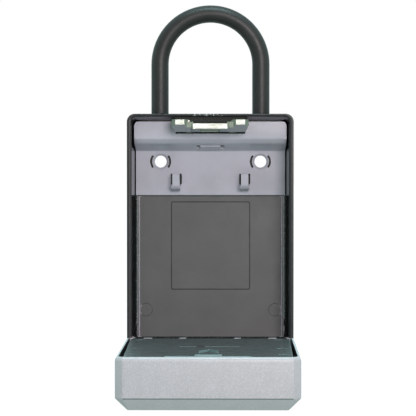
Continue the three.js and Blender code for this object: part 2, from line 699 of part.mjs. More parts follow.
function makeOpeningKnob() {
  const back = TRACK_FLOOR - 0.15;
  const pad = prism("y", rounded(-knob.half, knob.half, knob.low, knob.top, 2, 3), back - knob.proud, back);
  const stem = box(-knob.stem, knob.stem, back - 0.5, latch.y - 0.2, knob.screwZ - 2.2, knob.screwZ + 2.2);
  const front = back - knob.proud;
  const ridges = [101.2, 104, 106.8].map((z) => box(-9, 9, front - 1, front + 0.5, z - 0.5, z + 0.5));
  const thread = rod("y", 1.3, -18, latch.y, 0, knob.screwZ);
  return cut(union(pad, stem), ...ridges, thread);
}

const makeKnobScrew = () =>
  union(
    rod("y", 2.6, latch.y + latch.thick + 0.2, latch.y + latch.thick + 1.6, 0, knob.screwZ),
    rod("y", 1.1, -17, latch.y + latch.thick + 0.4, 0, knob.screwZ),
  );

class Helix extends THREE.Curve {
  constructor(x, y, z0, z1, r, turns) {
    super();
    Object.assign(this, { x, y, z0, z1, r, turns });
  }

  getPoint(t, target = new THREE.Vector3()) {
    const angle = 2 * Math.PI * this.turns * t;
    const z = this.z0 + (this.z1 - this.z0) * t;
    return target.set(this.x + this.r * Math.cos(angle), this.y + this.r * Math.sin(angle), z);
  }
}

// A compression spring in the latch plate's window; it pushes the tongue up.
function makeLatchSpring(side) {
  const turns = 5;
  const wire = new THREE.Shape(arc(0, 0, 0.35, 5).map(([u, v]) => new THREE.Vector2(u, v)));
  const extrudePath = new Helix(side * 9.5, latch.y + 0.75, 109, 124, 1.9, turns);
  const steps = turns * 8;
  return solidOf(new THREE.ExtrudeGeometry(wire, { extrudePath, steps, bevelEnabled: false }));
}

// ---------------------------------------------------------------- weather cover and code lever

// The sliding shield over the dials, built in its lowered place.
function makeWeatherCover() {
  const w = weather;
  const top = w.low + w.height;
  const [back, face] = [TRACK_FLOOR - 0.2, FRONT - w.proud];
  const body = prism("y", rounded(-w.half, w.half, w.low, top, 2, 3), face, back);
  const flanges = mirrorX((side) =>
    box(side * (w.half - 1), side * (track.groove - 0.3), FRONT + track.lip + 0.2, back, w.low + 2, top - 2),
  );
  // hollow behind, and open at its lower end, so that it passes over the dials and the knob
  const room = box(-w.half + 1.8, w.half - 1.8, face + w.shell, back + 1, w.low - 1, top + 1);
  const grips = [0, 1, 2, 3].map((i) => box(-11, 11, face - 1, face + 0.5, top - 8 - i * 3, top - 7 - i * 3));
  return cut(union(body, ...flanges), room, ...grips);
}

// The small slider inside the lid that frees the dials to take a new code.
function makeCodeLever() {
  const x = -lever.travel / 2;
  const grip = box(x - 2.5, x + 2.5, COVER_BACK - 0.4, COVER_FACE + 0.5, lever.z - 1.2, lever.z + 1.2);
  const foot = box(x - 8, x + 8, COVER_BACK - 0.75, COVER_BACK - 0.2, lever.z - 3, lever.z + 3);
  return union(grip, foot);
}

// ---------------------------------------------------------------- assembly

const root = new THREE.Group();
const lidGroup = new THREE.Group();
lidGroup.position.set(0, RIM - hinge.offset, up(hinge.offset));
lidGroup.rotation.x = Math.PI / 2; // open
root.add(lidGroup);

const sides = { left: -1, right: 1 };
const m = materials;

place(root, "casing", makeCasing(), m.blackCasting);
place(root, "rear_liner", makeRearLiner(), m.liner);
place(root, "hook_panel", makeHookPanel(), m.lightPlastic);
place(root, "strike", makeStrike(), m.steel);
place(root, "hinge_pin", makeHingePin(), m.steel);
place(root, "shackle_bar", makeShackleBar(), m.steel);
place(root, "shackle_sleeve", makeShackleSleeve(), m.coating);
place(root, "shackle_lock_plate", makeLockPlate(), m.steel);
place(root, "shackle_release_tab", makeReleaseTab(), m.lightPlastic);
for (const [name, side] of Object.entries(sides)) {
  place(root, `strike_screw_${name}`, makeStrikeScrew(side), m.steel);
  place(root, `mounting_plug_${name}`, makeMountingPlug(side), m.liner);
}

place(lidGroup, "lid_shell", makeLidShell(), m.silverCasting);
place(lidGroup, "inner_cover", makeInnerCover(), m.darkPlastic);
place(lidGroup, "dial_shaft", makeDialShaft(), m.steel);
place(lidGroup, "dial_detent_spring", makeDetentSpring(), m.steel);
place(lidGroup, "dial_bezel", makeDialBezel(), m.blackPlastic);
place(lidGroup, "latch_plate", makeLatchPlate(), m.steel);
place(lidGroup, "opening_knob", makeOpeningKnob(), m.blackPlastic);
place(lidGroup, "knob_screw", makeKnobScrew(), m.steel);
place(lidGroup, "weather_cover", makeWeatherCover(), m.blackPlastic);
place(lidGroup, "code_lever", makeCodeLever(), m.blackPlastic);
dialCentres().forEach((x, i) => {
  place(lidGroup, `dial_${i + 1}`, makeDial(x), m.blackPlastic);
  place(lidGroup, `dial_sleeve_${i + 1}`, makeDialSleeve(x), m.brass);
});
for (const [name, side] of Object.entries(sides)) {
  place(lidGroup, `latch_spring_${name}`, makeLatchSpring(side), m.steel);
  screw.rows.forEach((z, i) => {
    place(lidGroup, `cover_screw_${name}_${i + 1}`, makeCoverScrew(side, z), m.steel);
  });
}

export default root;
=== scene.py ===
"""Key lock box with a shackle, its lid folded down: the visible shapes, finishes, light and camera."""

import json
import math

import bmesh
import bpy
from mathutils import Matrix, Vector


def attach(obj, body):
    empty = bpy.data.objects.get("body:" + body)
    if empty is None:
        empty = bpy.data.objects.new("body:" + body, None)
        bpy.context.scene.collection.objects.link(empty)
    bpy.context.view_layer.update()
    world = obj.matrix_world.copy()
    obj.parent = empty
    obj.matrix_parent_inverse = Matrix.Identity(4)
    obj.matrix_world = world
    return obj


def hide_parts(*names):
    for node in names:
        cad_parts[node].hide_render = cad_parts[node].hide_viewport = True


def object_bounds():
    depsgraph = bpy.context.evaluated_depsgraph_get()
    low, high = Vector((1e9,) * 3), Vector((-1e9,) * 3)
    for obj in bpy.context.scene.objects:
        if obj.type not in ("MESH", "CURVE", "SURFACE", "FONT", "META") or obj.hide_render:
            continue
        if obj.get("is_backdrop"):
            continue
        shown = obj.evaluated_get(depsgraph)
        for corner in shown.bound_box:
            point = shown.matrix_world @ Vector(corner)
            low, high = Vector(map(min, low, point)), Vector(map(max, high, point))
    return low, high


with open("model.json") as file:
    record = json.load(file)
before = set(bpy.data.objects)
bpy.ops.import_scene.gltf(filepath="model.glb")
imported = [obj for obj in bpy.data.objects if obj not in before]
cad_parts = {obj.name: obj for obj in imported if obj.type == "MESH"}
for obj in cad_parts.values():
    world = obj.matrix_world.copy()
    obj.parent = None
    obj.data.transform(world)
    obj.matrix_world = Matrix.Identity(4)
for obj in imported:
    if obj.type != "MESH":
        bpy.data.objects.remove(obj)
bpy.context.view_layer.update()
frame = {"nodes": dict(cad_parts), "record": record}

MM = 0.001
scene = bpy.context.scene

# ---------------------------------------------------------------- places, in millimetres of the row frame

WIDTH, HEIGHT, CASING_DEPTH = 105.0, 146.0, 27.0
BOTTOM = -HEIGHT / 2
RIM = -CASING_DEPTH
HALF = WIDTH / 2
CORNER = 5.0
WALL = 3.0
FLOOR = -WALL  # front face of the casing's rear wall
ROOM = HALF - WALL  # half width inside the casing's walls
SIDES = (-1, 1)
THROUGH = 60.0  # past the part's sides, for tools that cut right through

HINGE = 2.7  # the axis in front of the rim, and above the casing's base
BARREL = 2.4
PIN_BORE = 1.35
HINGE_Y, HINGE_Z = RIM - HINGE, BOTTOM + HINGE
LID = Matrix.Translation((0, HINGE_Y * MM, HINGE_Z * MM)) @ Matrix.Rotation(math.pi / 2, 4, "X")
LID_KNUCKLES = ((15.2, 19.3), (36.5, 41.6))

# the lid's own frame: the hinge axis is the origin, the front faces -Y and the free end is up
PARTING = HINGE - 0.2
FRONT = PARTING - 30.8
LID_HALF = 52.95
LID_WALL = 1.9
LID_LOW, LID_TOP = -PARTING, HEIGHT - HINGE
COVER_FACE = PARTING - 0.4
COVER_BACK = COVER_FACE - 2.0

SHACKLE_X, SHACKLE_Y = 32.0, -12.0
BOW_CENTRE = BOTTOM + 177.5
HOLE_X, HOLE_Z, HOLE_R = 31.8, BOTTOM + 115.9, 3.8
LOW_HOLE_X, LOW_HOLE_Z = 41.2, BOTTOM + 21.3
HOOK_X = 21.8
PANEL_FRONT, PANEL_BACK, PANEL_HALF = RIM + 5.5, RIM + 20.0, 48.1
PANEL_TOP, PANEL_LOW = BOTTOM + 141.3, BOTTOM + 94.4

COVER_SCREWS = [(side * 43.5, z) for side in SIDES for z in (13.0, 77.0, 121.0)]
DIAL_Y, DIAL_Z, DIAL_R, DIAL_PITCH, DIAL_WIDTH = -15.35, 82.0, 10.2, 10.4, 8.6
DIAL_STEP = math.pi / 5  # a tenth of a turn, from one digit to the next

SHARP = math.radians(32)  # edges that turn by more than this are bevelled, the others are shaded smooth


def up(z):
    """A height above the casing's base, as a place on the Z axis."""
    return BOTTOM + z


# ---------------------------------------------------------------- mesh tools


def link(name, bm):
    mesh = bpy.data.meshes.new(name)
    bm.to_mesh(mesh)
    bm.free()
    piece = bpy.data.objects.new(name, mesh)
    scene.collection.objects.link(piece)
    return piece


def loft(name, loops, closed=False):
    """A skin over loops of equal length, given in millimetres; closed joins the last loop to the first."""
    bm = bmesh.new()
    rows = [[bm.verts.new([c * MM for c in point]) for point in loop] for loop in loops]
    count = len(rows[0])
    following = rows[1:] + (rows[:1] if closed else [])
    for row, after in zip(rows, following):
        for i in range(count):
            j = (i + 1) % count
            bm.faces.new((row[i], row[j], after[j], after[i]))
    if not closed:
        bm.faces.new(rows[0][::-1])
        bm.faces.new(rows[-1])
    bmesh.ops.recalc_face_normals(bm, faces=bm.faces)
    return link(name, bm)


def arc(u, v, r, steps, start=0.0, sweep=2 * math.pi):
    """Points on an arc; a whole circle doesn't repeat its first point."""
    whole = sweep >= 2 * math.pi
    angles = [start + sweep * i / steps for i in range(steps if whole else steps + 1)]
    return [(u + r * math.cos(a), v + r * math.sin(a)) for a in angles]


def rounded(u0, u1, v0, v1, r, steps=8):
    """A rectangle with round corners."""
    quarter = math.pi / 2
    centres = [(u1 - r, v1 - r), (u0 + r, v1 - r), (u0 + r, v0 + r), (u1 - r, v0 + r)]
    return [p for i, c in enumerate(centres) for p in arc(*c, r, steps, i * quarter, quarter)]


def softened(outline, radius):
    """A closed outline with each corner replaced by a small curve."""
    points, steps = [], 3
    for i, here in enumerate(outline):
        here = Vector(here)
        before, after = Vector(outline[i - 1]), Vector(outline[(i + 1) % len(outline)])
        reach = min(radius, (before - here).length * 0.45, (after - here).length * 0.45)
        start = here + (before - here).normalized() * reach
        end = here + (after - here).normalized() * reach
        for k in range(steps + 1):
            t = k / steps
            points.append(tuple(start * (1 - t) ** 2 + here * 2 * t * (1 - t) + end * t**2))
    return points


PLACE = {
    "x": lambda u, v, w: (w, u, v),
    "y": lambda u, v, w: (u, w, v),
    "z": lambda u, v, w: (u, v, w),
}


def prism(axis, outline, start, stop):
    """An outline extruded along an axis: (y, z) for x, (x, z) for y and (x, y) for z."""
    loops = [[PLACE[axis](u, v, w) for u, v in outline] for w in (start, stop)]
    return loft("tool", loops)


def box(x0, x1, y0, y1, z0, z1):
    x0, x1 = sorted((x0, x1))
    return prism("z", [(x0, y0), (x1, y0), (x1, y1), (x0, y1)], z0, z1)


def rod(axis, r, start, stop, u, v, steps=48):
    return prism(axis, arc(u, v, r, steps), start, stop)


def frame_loop(half, z0, z1, r, y):
    """A rectangle with round corners, centred on x = 0, at depth y."""
    return [(x, y, z) for x, z in rounded(-half, half, z0, z1, r)]


def combine(piece, operation, tools):
    """Adds or cuts away a list of tool solids, and removes the tools."""
    group = bpy.data.collections.new("tools")
    for tool in tools:
        scene.collection.objects.unlink(tool)
        group.objects.link(tool)
    scene.collection.children.link(group)
    change = piece.modifiers.new("combine", "BOOLEAN")
    change.operation = operation
    change.solver = "EXACT"
    change.use_self = operation == "UNION"
    change.operand_type = "COLLECTION"
    change.collection = group
    graph = bpy.context.evaluated_depsgraph_get()
    result = bpy.data.meshes.new_from_object(piece.evaluated_get(graph))
    piece.modifiers.clear()
    piece.data = result
    for tool in tools:
        bpy.data.objects.remove(tool)
    bpy.data.collections.remove(group)
    return piece


def add(piece, *tools):
    return combine(piece, "UNION", list(tools))


def cut(piece, *tools):
    return combine(piece, "DIFFERENCE", list(tools))


def mirrored(make):
    """The shape that make gives for the left side, then the one for the right."""
    return [make(side) for side in SIDES]


def span(side, near, far):
    """The stretch of X between two distances from the middle, on one side."""
    return sorted((side * near, side * far))


def smooth(piece):
    for polygon in piece.data.polygons:
        polygon.use_smooth = True
    piece.data.set_sharp_from_angle(angle=SHARP)


def soften(piece, width, segments=2):
    """Rounds the piece's sharp edges with a bevel."""
    bevel = piece.modifiers.new("edges", "BEVEL")
    bevel.width = width * MM
    bevel.segments = segments
    bevel.limit_method = "ANGLE"
    bevel.angle_limit = SHARP
    bevel.use_clamp_overlap = True
    bevel.harden_normals = True


def clean(piece):
    """Joins the double points that cutting leaves."""
    bm = bmesh.new()
    bm.from_mesh(piece.data)
    bmesh.ops.remove_doubles(bm, verts=bm.verts, dist=0.00001)
    bmesh.ops.dissolve_degenerate(bm, edges=bm.edges, dist=0.00001)
    bm.to_mesh(piece.data)
    bm.free()


def finish_piece(piece, name, body, slot, edge, nodes, in_lid=False, segments=2, look=None):
    """Gives a built piece its name, edges and finish, and rides it on its body in place of CAD nodes."""
    piece.name = name
    clean(piece)
    if in_lid:
        piece.data.transform(LID)
    smooth(piece)
    soften(piece, edge, segments)
    piece.data.materials.clear()
    piece.data.materials.append(FINISHES[look or slot])
    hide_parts(*nodes)
    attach(piece, body)


# ---------------------------------------------------------------- material tools


class Finish:
    """A Principled material whose colour, roughness and bump come from procedural nodes."""

    def __init__(self, name, roughness, metallic=0.0, specular=0.5):
        self.material = bpy.data.materials.new(name)
        self.material.use_nodes = True
        self.tree = self.material.node_tree
        self.shader = self.tree.nodes["Principled BSDF"]
        self.shader.inputs["Roughness"].default_value = roughness
        self.shader.inputs["Metallic"].default_value = metallic
        self.shader.inputs["Specular IOR Level"].default_value = specular
        self.place = self.tree.nodes.new("ShaderNodeTexCoord").outputs["Object"]

    def node(self, kind, **values):
        """A node with the given properties, or the given values on its inputs."""
        made = self.tree.nodes.new(kind)
        for key, value in values.items():
            if hasattr(made, key):
                setattr(made, key, value)
            else:
                made.inputs[key.replace("_", " ").title()].default_value = value
        return made

    def wire(self, source, target):
        self.tree.links.new(source, target)

    def noise(self, size, detail=3.0, stretch=(1, 1, 1), rough=0.55):
        """Noise whose grains are about size millimetres."""
        place = self.node("ShaderNodeMapping")
        place.inputs["Scale"].default_value = stretch
        self.wire(self.place, place.inputs["Vector"])
        made = self.node("ShaderNodeTexNoise", scale=1 / (size * MM), detail=detail, roughness=rough)
        self.wire(place.outputs["Vector"], made.inputs["Vector"])
        return made.outputs["Fac"]

    def band(self, source, low, high, out_low=0.0, out_high=1.0):
        """Maps low..high of a socket to out_low..out_high, and holds it there outside."""
        made = self.node("ShaderNodeMapRange")
        made.inputs["From Min"].default_value = low
        made.inputs["From Max"].default_value = high
        made.inputs["To Min"].default_value = out_low
        made.inputs["To Max"].default_value = out_high
        self.wire(source, made.inputs["Value"])
        return made.outputs["Result"]

    def times(self, a, b):
        made = self.node("ShaderNodeMath", operation="MULTIPLY")
        self.wire(a, made.inputs[0])
        self.wire(b, made.inputs[1])
        return made.outputs["Value"]

    def mix(self, amount, a, b):
        """Colours or sockets a and b, mixed by a socket."""
        made = self.node("ShaderNodeMix", data_type="RGBA")
        self.wire(amount, made.inputs["Factor"])
        for value, target in ((a, made.inputs[6]), (b, made.inputs[7])):
            if isinstance(value, tuple):
                target.default_value = (*value, 1)
            else:
                self.wire(value, target)
        return made.outputs[2]

    def colour(self, source):
        self.wire(source, self.shader.inputs["Base Color"])

    def base(self):
        """The socket that gives the colour so far."""
        return self.shader.inputs["Base Color"].links[0].from_socket

    def roughness(self, source):
        self.wire(source, self.shader.inputs["Roughness"])

    def bump(self, source, height):
        """Bump of the given height in millimetres."""
        made = self.node("ShaderNodeBump")
        made.inputs["Distance"].default_value = height * MM
        self.wire(source, made.inputs["Height"])
        self.wire(made.outputs["Normal"], self.shader.inputs["Normal"])

    def value(self, amount, a, b):
        """Number a and socket b, mixed by a socket."""
        made = self.node("ShaderNodeMix", data_type="FLOAT")
        self.wire(amount, made.inputs["Factor"])
        made.inputs[2].default_value = a
        self.wire(b, made.inputs[3])
        return made.outputs[0]

    def within(self, low, high):
        """1 inside a box given by two corners in millimetres of the row frame, 0 outside it."""
        middle = [(a + b) / 2 * MM for a, b in zip(low, high)]
        half = [(b - a) / 2 * MM for a, b in zip(low, high)]
        centred = self.node("ShaderNodeVectorMath", operation="SUBTRACT")
        self.wire(self.place, centred.inputs[0])
        centred.inputs[1].default_value = middle
        scaled = self.node("ShaderNodeVectorMath", operation="DIVIDE")
        self.wire(centred.outputs["Vector"], scaled.inputs[0])
        scaled.inputs[1].default_value = half
        size = self.node("ShaderNodeVectorMath", operation="ABSOLUTE")
        self.wire(scaled.outputs["Vector"], size.inputs[0])
        axes = self.node("ShaderNodeSeparateXYZ")
        self.wire(size.outputs["Vector"], axes.inputs[0])
        inside = None
        for axis in "XYZ":
            below = self.node("ShaderNodeMath", operation="LESS_THAN")
            self.wire(axes.outputs[axis], below.inputs[0])
            below.inputs[1].default_value = 1
            inside = self.times(inside, below.outputs["Value"]) if inside else below.outputs["Value"]
        return inside

    def edges(self, radius):
        """1 on convex and concave edges, 0 on flats, from how far a bevelled normal leans."""
        bevel = self.node("ShaderNodeBevel", samples=6)
        bevel.inputs["Radius"].default_value = radius * MM
        plain = self.node("ShaderNodeNewGeometry")
        dot = self.node("ShaderNodeVectorMath", operation="DOT_PRODUCT")
        self.wire(bevel.outputs["Normal"], dot.inputs[0])
        self.wire(plain.outputs["Normal"], dot.inputs[1])
        return self.band(dot.outputs["Value"], 0.985, 0.90)


def linear(red, green, blue):
    """An sRGB colour, 0 to 255, as scene-linear light."""
    return tuple(
        (c / 255) / 12.92 if c / 255 <= 0.04045 else ((c / 255 + 0.055) / 1.055) ** 2.4
        for c in (red, green, blue)
    )


def moulded(name, tone, roughness, grain=0.35, depth=0.02, marks=(6, 5), spread=(-0.08, 0.1)):
    """Fine-grained moulded plastic with faint handling marks of varying gloss."""
    made = Finish(name, roughness, specular=0.45)
    darker = tuple(c * 0.88 for c in tone)
    lighter = tuple(min(1, c * 1.06) for c in tone)
    clouds = made.band(made.noise(22, 4), 0.3, 0.7)
    made.colour(made.mix(clouds, darker, lighter))
    duller, glossier = roughness + spread[1], roughness + spread[0]
    made.roughness(made.band(made.noise(*marks), 0.3, 0.7, glossier, duller))
    made.bump(made.noise(grain, 2), depth)
    return made


def light_moulding():
    """Smoother and glossier than the other mouldings."""
    tone = linear(177, 176, 188)
    return moulded("light_moulding", tone, 0.15, 0.6, 0.012, (9, 3), (-0.02, 0.02)).material


def dark_moulding():
    """Grey moulding with a painted highlight along the edges of its ribs and a painted shade in the groove in
    its middle.
    """
    made = moulded("dark_moulding", linear(81, 81, 82), 0.42)
    # painted highlight: the edges of the ribs are made paler, mottled by noise, where light catches them
    edge_highlight = made.times(made.edges(0.7), made.band(made.noise(2, 4), 0.3, 0.6, 0.4, 0.9))
    middle = made.within((-44, -40, BOTTOM), (44, 0, 73))
    ribs = made.times(edge_highlight, made.band(middle, 0, 1, 1, 0))
    with_rib_highlight = made.mix(ribs, made.base(), linear(205, 200, 214))
    # painted shade: the groove's walls and bottom are coloured near black
    groove = made.within((-26, FLOOR - 1.8, up(33)), (26, FLOOR - 1.2, up(91)))
    made.colour(made.mix(groove, with_rib_highlight, linear(34, 35, 36)))
    return made.material


def cover_moulding():
    """Dark moulding with fine scuffs along X, a painted highlight on its edges and on the forward-facing end
    faces of the arrow and hood.
    """
    made = moulded("cover_moulding", linear(52, 56, 58), 0.42, 0.5, 0.03)
    scuffs = made.band(made.noise(2.5, 6, (0.12, 1, 1)), 0.6, 0.72, 0, 0.35)
    scuffed = made.mix(scuffs, made.base(), linear(105, 122, 124))
    # painted highlight: edges made paler and teal, mottled by noise; the scuffs beneath are real wear
    edge_highlight = made.times(made.edges(0.6), made.band(made.noise(3, 4), 0.3, 0.6, 0.5, 0.95))
    worn_and_highlit = made.mix(edge_highlight, scuffed, linear(135, 165, 168))
    # painted highlight: faces of the arrow and hood that point forward, towards the light, are made paler
    normal = made.node("ShaderNodeSeparateXYZ")
    made.wire(made.node("ShaderNodeTexCoord").outputs["Normal"], normal.inputs[0])
    middle = made.within((-26, HINGE_Y - 132, BOTTOM - 1), (26, HINGE_Y - 80, HINGE_Z + PARTING + 2))
    ends = made.times(middle, made.band(normal.outputs["Y"], -0.2, -0.5))
    made.colour(made.mix(ends, worn_and_highlit, linear(128, 156, 158)))
    return made.material


def black_moulding():
    return moulded("black_moulding", linear(30, 31, 32), 0.42).material


def black_casting():
    """Gloss black paint: a mirror inside, rougher on the rim and outside, with pale wear on the edges."""
    made = Finish("black_casting", 0.2)
    made.shader.inputs["IOR"].default_value = 1.85
    tone, worn_and_highlit = linear(32, 33, 35), linear(205, 214, 214)
    clouds = made.band(made.noise(14, 4), 0.3, 0.7)
    paint = made.mix(clouds, tuple(c * 0.8 for c in tone), tuple(c * 1.3 for c in tone))
    wear = made.times(made.edges(0.9), made.band(made.noise(1.0, 5), 0.54, 0.62, 0, 0.4))
    scraped = made.within((-11, RIM - 0.2, up(144.6)), (8, RIM + 1.5, up(146.2)))
    scrapes = made.times(scraped, made.band(made.noise(1.1, 6, (1, 1, 2.5)), 0.53, 0.6, 0, 0.7))
    made.colour(made.mix(scrapes, made.mix(wear, paint, worn_and_highlit), worn_and_highlit))
    walls = made.within((-ROOM - 0.3, RIM + 0.8, up(2)), (ROOM + 0.3, 0, up(144.3)))
    marks = made.band(made.noise(5, 4), 0.3, 0.7, 0.02, 0.06)
    made.roughness(made.value(walls, 0.32, marks))
    made.wire(made.band(walls, 0, 1, 0.15, 0.5), made.shader.inputs["Specular IOR Level"])
    made.bump(made.times(made.noise(1.1, 3), made.band(walls, 0, 1, 1, 0)), 0.03)
    return made.material


def silver_casting():
    """Silver lacquer with fine flakes outside; painted shade darkens the inside of the lid's walls and a thin
    line where the free end meets the front chamfer.
    """
    made = Finish("silver_casting", 0.4, specular=0.6)
    tone = linear(168, 165, 171)
    clouds = made.band(made.noise(9, 3), 0.3, 0.7)
    soft = made.mix(clouds, tuple(c * 0.96 for c in tone), tuple(c * 1.03 for c in tone))
    flakes = made.band(made.noise(0.55, 2, rough=0.7), 0.45, 0.75, 0, 0.55)
    lacquer = made.mix(flakes, soft, linear(206, 206, 211))
    # two crossed boxes that stay inside the walls and clear of the chamfered corners; inside them the lid is
    # painted dark as shade
    boxes = [
        made.within(
            (side - LID_HALF, HINGE_Y - LID_TOP + end, HINGE_Z + FRONT + 7.6),
            (LID_HALF - side, HINGE_Y - LID_LOW - end, HINGE_Z + PARTING - 0.3),
        )
        for side, end in ((1.7, 4.5), (4.5, 1.7))
    ]
    either = made.node("ShaderNodeMath", operation="MAXIMUM")
    made.wire(boxes[0], either.inputs[0])
    made.wire(boxes[1], either.inputs[1])
    hollow_shade = either.outputs["Value"]
    # painted shade: a thin dark line where the end face meets the front chamfer
    crease_shade = made.within(
        (-LID_HALF + 4.6, HINGE_Y - LID_TOP - 1, HINGE_Z + FRONT + 6.7),
        (LID_HALF - 4.6, HINGE_Y - LID_TOP + 1, HINGE_Z + FRONT + 7.5),
    )
    with_crease_shade = made.mix(crease_shade, lacquer, linear(112, 121, 121))
    made.colour(made.mix(hollow_shade, with_crease_shade, linear(38, 40, 42)))
    made.roughness(made.band(made.noise(0.6, 3), 0.3, 0.7, 0.34, 0.46))
    made.bump(made.noise(0.7, 3), 0.012)
    return made.material


def shackle_coating():
    """Smooth, slightly dull black vinyl."""
    made = Finish("shackle_coating", 0.5, specular=0.4)
    tone = linear(33, 33, 33)
    clouds = made.band(made.noise(10, 4), 0.3, 0.7)
    made.colour(made.mix(clouds, tuple(c * 0.8 for c in tone), tuple(c * 1.25 for c in tone)))
    made.roughness(made.band(made.noise(3, 4), 0.3, 0.7, 0.4, 0.48))
    made.bump(made.noise(1.4, 2), 0.006)
    return made.material


def plated(name, tone, roughness):
    """Zinc-plated steel with faint rolling marks."""
    made = Finish(name, roughness, metallic=1.0)
    clouds = made.band(made.noise(3, 5), 0.3, 0.7)
    made.colour(made.mix(clouds, tuple(c * 0.8 for c in tone), tone))
    made.roughness(made.band(made.noise(1.2, 4), 0.3, 0.7, roughness - 0.1, roughness + 0.12))
    made.bump(made.noise(0.6, 4, (0.25, 1, 1)), 0.015)
    return made


def zinc_steel():
    return plated("zinc_steel", linear(214, 215, 208), 0.3).material


def strike_zinc():
    """Cut faces in front are bright; faces that look down are painted a paler grey as painted light from
    below; the others keep their greenish passivation.
    """
    made = plated("strike_zinc", linear(122, 131, 118), 0.45)
    passivated = made.base()
    normal = made.node("ShaderNodeSeparateXYZ")
    made.wire(made.node("ShaderNodeNewGeometry").outputs["Normal"], normal.inputs[0])
    facing = made.band(normal.outputs["Y"], -0.9, -0.98)
    front = made.times(facing, made.within((-30, RIM - 11, 0), (30, RIM - 9.4, up(150))))
    scratches = made.band(made.noise(1.1, 6, (0.2, 1, 1)), 0.35, 0.6)
    bright = made.mix(scratches, linear(178, 176, 163), linear(236, 236, 229))
    # painted light: faces that look down are made pale grey, as if lit from below
    below = made.mix(made.band(normal.outputs["Z"], -0.2, -0.5), passivated, linear(158, 160, 168))
    made.colour(made.mix(front, below, bright))
    made.wire(made.band(front, 0, 1, 0.35, 0.3), made.shader.inputs["Metallic"])
    return made.material


def sleeve_brass():
    """Brass with fine turning rings round X."""
    made = Finish("sleeve_brass", 0.3, metallic=1.0)
    tone = linear(196, 164, 98)
    rings = made.band(made.noise(0.4, 3, (1, 0.08, 0.08)), 0.3, 0.7)
    made.colour(made.mix(rings, tuple(c * 0.8 for c in tone), tone))
    made.bump(made.noise(0.3, 2, (1, 0.05, 0.05)), 0.01)
    return made.material


def white_ink():
    made = Finish("white_ink", 0.5)
    clouds = made.band(made.noise(0.6, 4), 0.3, 0.7)
    made.colour(made.mix(clouds, linear(206, 206, 200), linear(232, 232, 226)))
    made.bump(made.noise(0.25, 2), 0.01)
    return made.material


FINISHES = {
    "light_moulding": light_moulding(),
    "dark_moulding": dark_moulding(),
    "cover_moulding": cover_moulding(),
    "black_moulding": black_moulding(),
    "black_casting": black_casting(),
    "silver_casting": silver_casting(),
    "shackle_coating": shackle_coating(),
    "zinc_steel": zinc_steel(),
    "strike_zinc": strike_zinc(),
    "sleeve_brass": sleeve_brass(),
    "white_ink": white_ink(),
}
FINISHES["dial_moulding"] = FINISHES["black_moulding"]

# ---------------------------------------------------------------- casing


def rear_edge(half, z0, z1, corner, y, r, steps=5):
    """Loops that round the edge between a flat back at y and the sides in front of it."""
    loops = []
    for i in range(steps + 1):
        t = math.pi / 2 * i / steps
        d = r * (1 - math.sin(t))
        loops.append(frame_loop(half - d, z0 + d, z1 - d, corner - d, y - r * (1 - math.cos(t))))
    return loops


def casing_spans(grow):
    """The casing's hinge spans between the lid's knuckles, each made longer by grow at both ends."""
    gap, outer_end = 0.3 - grow, 47.5 + grow
    (a, b), (c, d) = LID_KNUCKLES
    right = [(b + gap, c - gap), (d + gap, outer_end)]
    return [(-a + gap, a - gap)] + right + [(-x1, -x0) for x0, x1 in right]


def make_casing():
    top = BOTTOM + HEIGHT
    lip, soft, corner = 0.9, 0.5, 3
    inner_low, inner_high, inner_top = up(WALL), up(142.2), top - 1.9
    loops = rear_edge(HALF, BOTTOM, top, CORNER, 0, 1.5)
    for i in range(1, 5):
        t = math.pi / 2 * i / 4
        d = soft * (1 - math.cos(t))
        loops.append(frame_loop(HALF - d, BOTTOM + d, top - d, CORNER - d, RIM + soft * (1 - math.sin(t))))
    # the rim land, its rounded inner edge and the drafted walls
    for i in range(4):
        t = math.pi / 2 * i / 3
        d = lip * (1 - math.sin(t))
        y = RIM + lip * (1 - math.cos(t))
        loops.append(frame_loop(ROOM + d, inner_low - d, inner_top + d, corner + d, y))
    loops.append(frame_loop(ROOM, inner_low, inner_high, corner, RIM + 4))
    loops.append(frame_loop(ROOM - 2, inner_low, inner_high, corner, FLOOR))
    piece = loft("casing", loops)

    knuckles = [rod("x", BARREL, a, b, HINGE_Y, HINGE_Z) for a, b in casing_spans(0)]
    web = (HINGE_Y, RIM + 1, HINGE_Z - BARREL, HINGE_Z + 0.4)
    webs = [box(a, b, *web) for a, b in casing_spans(0)]
    socket = (RIM + 8.4, FLOOR + 1, up(132.9), up(144))
    sockets = mirrored(lambda side: box(side * SHACKLE_X - 6.8, side * SHACKLE_X + 6.8, *socket))
    add(piece, *knuckles, *webs, *sockets)
    bores = mirrored(lambda side: rod("z", 4.8, up(120), up(148), side * SHACKLE_X, SHACKLE_Y))
    holes = mirrored(lambda side: rod("y", HOLE_R, FLOOR - 6, 2, side * HOLE_X, HOLE_Z))
    low_holes = mirrored(lambda side: rod("y", HOLE_R, FLOOR - 6, 2, side * LOW_HOLE_X, LOW_HOLE_Z))
    pin = rod("x", PIN_BORE, -THROUGH, THROUGH, HINGE_Y, HINGE_Z)
    pocket = box(-22.3, 22.3, RIM - 1, RIM + 12, up(139.2), inner_top)
    cut(piece, *bores, *holes, *low_holes, pin, pocket)
    finish_piece(piece, "casing_body", "casing", "black_casting", 0.15, ["casing"])


